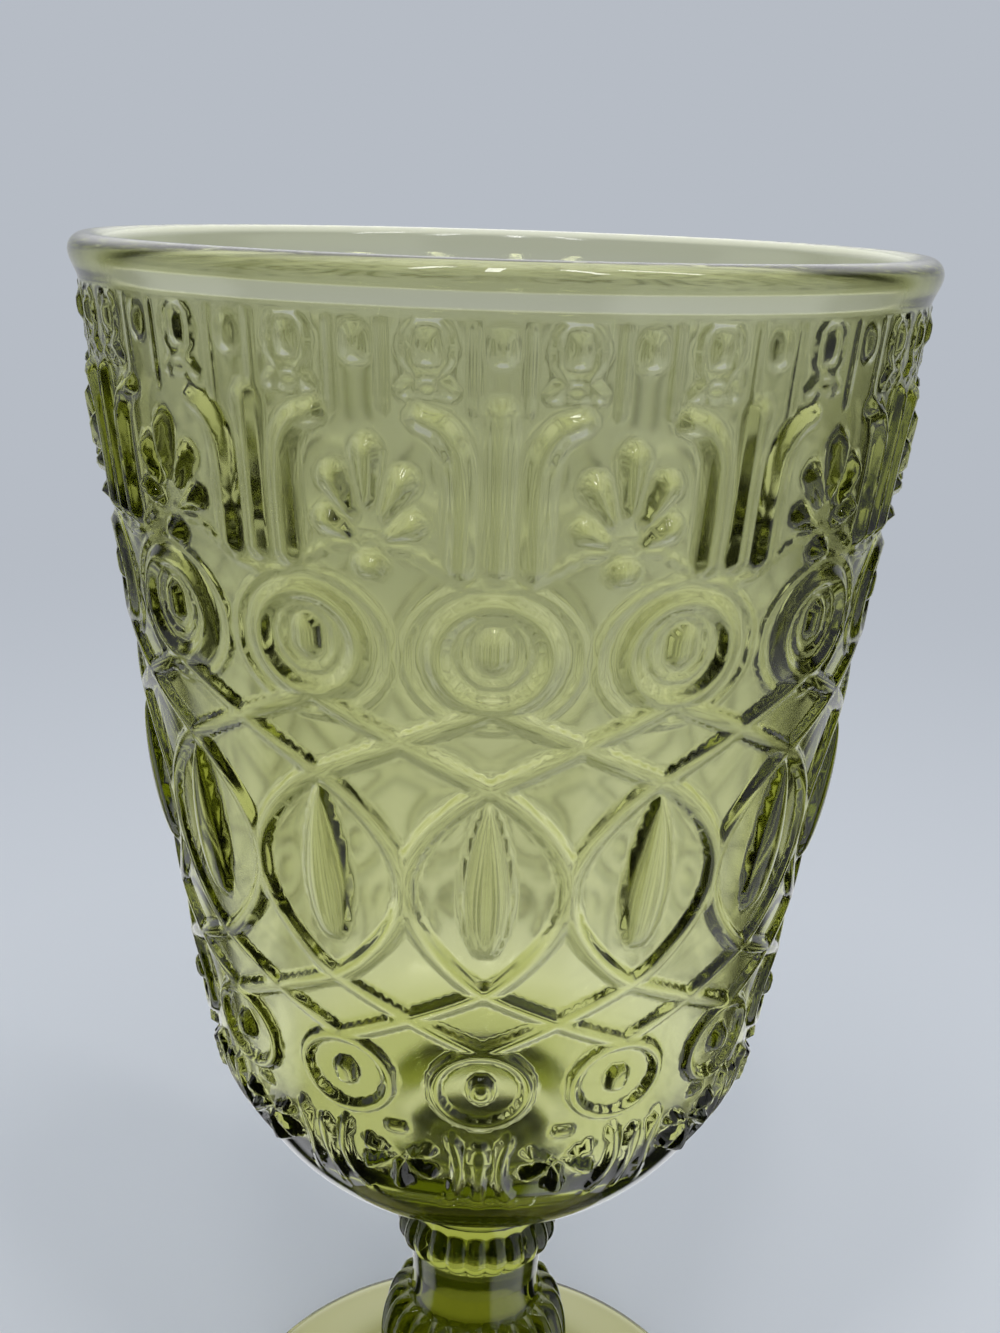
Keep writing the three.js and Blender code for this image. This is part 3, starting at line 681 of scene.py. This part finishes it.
# The motifs are drawn on a fine grid over one third of the bowl, and softened as the fire softened them.
GRID_STEP = 0.13
GRID_COLUMNS = 660
SOFTENING = 0.135
grid_v = np.arange(0, side_length[0], GRID_STEP)
grid_below = RIM - np.interp(grid_v, side_length[::-1], side[::-1, 1])
grid_radius = side_radius(grid_below)[:, None]
grid_degrees = (np.arange(GRID_COLUMNS) / GRID_COLUMNS * MOULD_DEGREES - MOULD_DEGREES / 2)[None, :]


def fold(period):
    """Degrees from the nearest repeat of a pattern."""
    return np.abs(grid_degrees - period * np.round(grid_degrees / period))


drawn = np.zeros((len(grid_v), GRID_COLUMNS))
lace(drawn, np.radians(fold(RING_PATTERN)) * grid_radius, grid_v)
flowers(drawn, np.radians(fold(FLOWER_PATTERN)) * grid_radius, grid_v)
palmettes(drawn, np.radians(FLOWER_PATTERN / 2 - fold(FLOWER_PATTERN)) * grid_radius, grid_v)
beads(drawn, np.radians(fold(BEAD_PATTERN)) * grid_radius, grid_v,
      np.round(grid_degrees / BEAD_PATTERN) % 2 == 1)
drawn = soften(soften(drawn, 0, SOFTENING / GRID_STEP), 1, SOFTENING / GRID_STEP)


def relief(angle, height):
    """How far the relief stands out, in mm, at an angle round the bowl and a height."""
    column = (np.degrees(angle) / MOULD_DEGREES + 0.5) * GRID_COLUMNS
    row = np.clip(side_distance(RIM - height) / GRID_STEP, 0, len(grid_v) - 1.001)
    column, row = np.broadcast_arrays(column, row)
    i, j = np.floor(row).astype(int), np.floor(column).astype(int)
    u, w = row - i, column - j
    left, right = j % GRID_COLUMNS, (j + 1) % GRID_COLUMNS
    below_row = drawn[i, left] * (1 - w) + drawn[i, right] * w
    next_row = drawn[i + 1, left] * (1 - w) + drawn[i + 1, right] * w
    return below_row * (1 - u) + next_row * u


bowl_blocks = [(base_profile, PLAIN_COLUMNS, False), (heel_profile, HEEL_COLUMNS, True),
               (wall_profile, RELIEF_COLUMNS, True), (lip_profile, LIP_COLUMNS, False),
               (inner_profile, PLAIN_COLUMNS, False)]
bowl = turned_piece("bowl_glass", sector_mesh("bowl_third", bowl_blocks, 2 * math.pi / MOULD_PARTS, relief),
                    MOULD_PARTS, olive_glass, [BOWL_BASE - FUSED])

# The plunger's side is marked for the material: points that lie on the inner profile, fading out at the lip.
ON_PROFILE = 0.05
WELL_MARGIN = 0.3
PLUNGER_FADE = 0.8
spots = np.empty(len(bowl.data.vertices) * 3, np.float32)
bowl.data.vertices.foreach_get("co", spots)
spots = spots.reshape(-1, 3) / MM
inner_up = np.concatenate([lip[LIP_STEPS // 2:], inner_profile])[::-1]
from_inner = np.hypot(spots[:, 0], spots[:, 1]) - np.interp(spots[:, 2], inner_up[:, 1], inner_up[:, 0])
plunger_side = (from_inner < ON_PROFILE) * (spots[:, 2] > well_floor - WELL_MARGIN)
plunger_side = plunger_side * smooth(RIM, RIM - PLUNGER_FADE, spots[:, 2])
bowl.data.attributes.new("plunger_side", "FLOAT", "POINT").data.foreach_set(
    "value", plunger_side.astype(np.float32))
place(bowl, "bowl")

# Floor
# A plain pale surface under the goblet. Near the goblet it is matt and takes its shadow, and further out it
# passes into the even tone of the backdrop, so that no horizon shows. Seen through the glass or mirrored in
# it,
# it glows with painted light instead: bright near the goblet, duller away from it, a painted shade under the
# foot, and dark between the studio's panels.
BACKDROP = "#B6BCC5"
# Painted light that the floor glows with through glass: NEAR_TONE near the goblet, FAR_TONE further out,
# DARK_TONE as painted shade between the panels. FAR_TONE and DARK_TONE also tone the studio round about.
NEAR_TONE = "#F6F8FC"
FAR_TONE = "#B6B9BD"
# Painted shade on the floor under the foot, tinged yellow green as if by light through its glass, shown only
# through the glass.
PAINTED_FOOT_SHADE = "#9D9D68"
DARK_TONE = "#20221C"
BOARD = "#EEF0F2"
FLOOR_RADIUS = 4.0
FLOOR_SIDES = 96
SHADOW_NEAR, SHADOW_FAR = 0.10, 0.55
LIT_NEAR, LIT_FAR = 0.08, 0.45
SHADE_FADE = 0.03
# Distances within which the floor shows the painted shade under the foot in full, and where that shade has
# faded out.
FOOT_SHADE_FULL = 0.97 * FOOT_RADIUS * MM
FOOT_SHADE_EDGE = 1.05 * FOOT_RADIUS * MM
# Pale panels of the studio: the way each lies from the goblet and half its width, in degrees from +Y.
PANELS = ((0, 56), (-90, 14), (121, 30))
PANEL_FADE_OUTSIDE, PANEL_FADE_INSIDE = 7, 5


def panels_seen(tree, direction):
    """1 where a direction meets one of the studio's pale panels, 0 between them."""
    flat = add(tree, "ShaderNodeVectorMath", {1: (1, 1, 0)}, {0: direction}, operation="MULTIPLY")
    flat = add(tree, "ShaderNodeVectorMath", links={0: flat.outputs[0]}, operation="NORMALIZE")
    total = None
    for middle, half in PANELS:
        way = (math.sin(math.radians(middle)), math.cos(math.radians(middle)), 0)
        facing = add(tree, "ShaderNodeVectorMath", {1: way}, {0: flat.outputs[0]}, operation="DOT_PRODUCT")
        outside = math.cos(math.radians(half + PANEL_FADE_OUTSIDE))
        inside = math.cos(math.radians(half - PANEL_FADE_INSIDE))
        seen = add(tree, "ShaderNodeMapRange", {"From Min": outside, "From Max": inside},
                   {"Value": facing.outputs["Value"]}, interpolation_type="SMOOTHSTEP")
        if total is not None:
            seen = add(tree, "ShaderNodeMath", links={0: total.outputs[0], 1: seen.outputs[0]},
                       operation="MAXIMUM")
        total = seen
    return total.outputs[0]


def make_pale_floor():
    """Matt pale board, its tone level, passing into the backdrop away from the goblet. Seen through glass or
    mirrored in it, it glows with painted light and shade instead.
    """
    material = bpy.data.materials.new("pale matt floor")
    material.use_nodes = True
    tree = material.node_tree
    tree.nodes.clear()
    where = add(tree, "ShaderNodeTexCoord")
    distance = add(tree, "ShaderNodeVectorMath", links={0: where.outputs["Object"]}, operation="LENGTH")
    far = add(tree, "ShaderNodeMapRange", {"From Min": SHADOW_NEAR, "From Max": SHADOW_FAR},
              {"Value": distance.outputs["Value"]}, interpolation_type="SMOOTHSTEP")
    board = add(tree, "ShaderNodeBsdfDiffuse", {"Color": linear(BOARD)})
    tone = add(tree, "ShaderNodeEmission", {"Color": linear(BACKDROP)})
    direct = add(tree, "ShaderNodeMixShader", links={
        0: far.outputs["Result"], 1: board.outputs["BSDF"], 2: tone.outputs["Emission"]})
    # Seen through glass or mirrored in it, the floor glows with painted light: bright near the goblet, duller
    # away from it.
    fading = add(tree, "ShaderNodeMapRange", {"From Min": LIT_NEAR, "From Max": LIT_FAR},
                 {"Value": distance.outputs["Value"]})
    lit = add(tree, "ShaderNodeMix", {6: linear(NEAR_TONE), 7: linear(FAR_TONE)}, {0: fading.outputs[0]},
              data_type="RGBA")
    outer = add(tree, "ShaderNodeMapRange", {"From Min": 0.0, "From Max": SHADE_FADE},
                {"Value": distance.outputs["Value"]})
    # Painted shade under the foot, where light would reach the floor only through the glass.
    foot_shade_mask = add(tree, "ShaderNodeMapRange", {"From Min": FOOT_SHADE_EDGE, "From Max": FOOT_SHADE_FULL},
                {"Value": distance.outputs["Value"]}, interpolation_type="SMOOTHSTEP")
    lit = add(tree, "ShaderNodeMix", {7: linear(PAINTED_FOOT_SHADE)}, {0: foot_shade_mask.outputs[0], 6: lit.outputs[2]},
              data_type="RGBA")
    shade = add(tree, "ShaderNodeMath", {0: 1.0}, {1: panels_seen(tree, where.outputs["Object"])},
                operation="SUBTRACT")
    shade = add(tree, "ShaderNodeMath", links={0: shade.outputs[0], 1: outer.outputs[0]},
                operation="MULTIPLY")
    shaded = add(tree, "ShaderNodeMix", {7: linear(DARK_TONE)}, {0: shade.outputs[0], 6: lit.outputs[2]},
                 data_type="RGBA")
    seen = add(tree, "ShaderNodeEmission", links={"Color": shaded.outputs[2]})
    path = add(tree, "ShaderNodeLightPath")
    through = add(tree, "ShaderNodeMath", links={0: path.outputs["Is Glossy Ray"],
                                                 1: path.outputs["Is Transmission Ray"]}, operation="MAXIMUM")
    both = add(tree, "ShaderNodeMixShader", links={
        0: through.outputs[0], 1: direct.outputs["Shader"], 2: seen.outputs["Emission"]})
    add(tree, "ShaderNodeOutputMaterial", links={"Surface": both.outputs["Shader"]})
    return material


turn = np.linspace(0, 2 * math.pi, FLOOR_SIDES, endpoint=False)
floor_rim = np.stack([FLOOR_RADIUS * np.cos(turn), FLOOR_RADIUS * np.sin(turn), 0 * turn], axis=1)
floor_mesh = bpy.data.meshes.new("floor")
floor_mesh.from_pydata(floor_rim.tolist(), [], [list(range(len(turn)))])
floor_mesh.materials.append(make_pale_floor())
floor = bpy.data.objects.new("floor", floor_mesh)
bpy.context.collection.objects.link(floor)

# Light
# A pale studio all round, plain to the eye, with panels that stand apart and darken upwards as the glass
# shows them, and four narrow strip lamps high in front that leave small glints on the lip.
STRIP_TURNS = (-29, -4, 30, 64)
STRIP_HEIGHT = math.radians(60)
STRIP_DISTANCE = 1.1
STRIP_SIZE = (0.06, 0.42)
STRIP_POWER = 1.0
SOFT_BOX = 1.6
SOFT_BOX_WAY = (0, 0.5, 0.87)
SOFT_BOX_EDGE, SOFT_BOX_FULL = 0.5, 0.85
DARKENS_FROM, DARKEST_AT = 0.35, 0.9

world = bpy.data.worlds.new("pale studio")
bpy.context.scene.world = world
world.use_nodes = True
sky = world.node_tree
sky.nodes.clear()
seen_from = add(sky, "ShaderNodeTexCoord")
direction = add(sky, "ShaderNodeSeparateXYZ", links={0: seen_from.outputs["Generated"]})
rising = add(sky, "ShaderNodeMapRange", {"From Min": DARKENS_FROM, "From Max": DARKEST_AT},
             {"Value": direction.outputs["Z"]})
lit_sky = add(sky, "ShaderNodeMix", {6: linear(FAR_TONE), 7: linear(DARK_TONE)}, {0: rising.outputs[0]},
              data_type="RGBA")
shown = add(sky, "ShaderNodeMix", {6: linear(DARK_TONE)},
            {0: panels_seen(sky, seen_from.outputs["Generated"]), 7: lit_sky.outputs[2]}, data_type="RGBA")
# A broad soft box overhead, a little behind, shows only as a pale sheen on the lip and on the upper sides of
# the relief.
path = add(sky, "ShaderNodeLightPath")
towards = add(sky, "ShaderNodeVectorMath", {1: SOFT_BOX_WAY}, {0: seen_from.outputs["Generated"]},
              operation="DOT_PRODUCT")
overhead = add(sky, "ShaderNodeMapRange",
               {"From Min": SOFT_BOX_EDGE, "From Max": SOFT_BOX_FULL, "To Max": SOFT_BOX},
               {"Value": towards.outputs["Value"]}, interpolation_type="SMOOTHSTEP")
mirrored = add(sky, "ShaderNodeMath", links={0: path.outputs["Is Glossy Ray"],
                                             1: path.outputs["Is Reflection Ray"]}, operation="MULTIPLY")
sheen = add(sky, "ShaderNodeMath", links={0: overhead.outputs[0], 1: mirrored.outputs[0]},
            operation="MULTIPLY")
through = add(sky, "ShaderNodeMath", links={0: path.outputs["Is Glossy Ray"],
                                            1: path.outputs["Is Transmission Ray"]}, operation="MAXIMUM")
tones = add(sky, "ShaderNodeMix", {6: linear(BACKDROP)}, {0: through.outputs[0], 7: shown.outputs[2]},
            data_type="RGBA")
tones = add(sky, "ShaderNodeMix", {7: (1, 1, 1, 1)}, {0: sheen.outputs[0], 6: tones.outputs[2]},
            data_type="RGBA", blend_type="ADD", clamp_factor=False)
shine = add(sky, "ShaderNodeBackground", {"Strength": 1.0}, {"Color": tones.outputs[2]})
add(sky, "ShaderNodeOutputWorld", links={"Surface": shine.outputs["Background"]})

for number, turn_degrees in enumerate(STRIP_TURNS):
    lamp_data = bpy.data.lights.new("strip_%d" % (number + 1), "AREA")
    lamp_data.shape = "RECTANGLE"
    lamp_data.size, lamp_data.size_y = STRIP_SIZE
    lamp_data.energy = STRIP_POWER
    lamp = bpy.data.objects.new(lamp_data.name, lamp_data)
    bpy.context.collection.objects.link(lamp)
    a = math.radians(turn_degrees)
    outward = np.array([math.sin(a) * math.cos(STRIP_HEIGHT), -math.cos(a) * math.cos(STRIP_HEIGHT),
                        math.sin(STRIP_HEIGHT)])
    sideways = np.array([math.cos(a), math.sin(a), 0])
    upward = np.cross(outward, sideways)
    turned = Matrix([list(column) for column in np.stack([sideways, upward, outward], axis=1)]).to_4x4()
    lamp.matrix_world = Matrix.Translation(outward * STRIP_DISTANCE + np.array([0, 0, RIM * MM])) @ turned

# Camera
# Close in front of the goblet, a little above its rim and tipped down, as the goblet was photographed.
PHOTO_HEIGHT = 1333
FOCAL_PIXELS = 1495.9
CAMERA_BACK = 155.67
CAMERA_ABOVE_RIM = 5.04
PITCH = math.radians(17.756)
ROLL = math.radians(1.838)
YAW = math.radians(0.248)
SENSOR = 36.0

forward = np.array([math.sin(YAW) * math.cos(PITCH), math.cos(YAW) * math.cos(PITCH), -math.sin(PITCH)])
level = np.array([math.cos(YAW), -math.sin(YAW), 0])
upright = np.cross(level, forward)
right = math.cos(ROLL) * level + math.sin(ROLL) * upright
up = -math.sin(ROLL) * level + math.cos(ROLL) * upright
camera_data = bpy.data.cameras.new("camera")
camera_data.sensor_width = SENSOR
camera_data.lens = FOCAL_PIXELS * SENSOR / PHOTO_HEIGHT
camera_data.clip_start = 0.01
camera = bpy.data.objects.new("camera", camera_data)
bpy.context.collection.objects.link(camera)
camera.matrix_world = Matrix.Translation((0, -CAMERA_BACK * MM, (RIM + CAMERA_ABOVE_RIM) * MM)) @ Matrix(
    [list(row) for row in np.stack([right, up, -forward], axis=1)]).to_4x4()
bpy.context.scene.camera = camera
bpy.context.scene.view_settings.view_transform = "Standard"
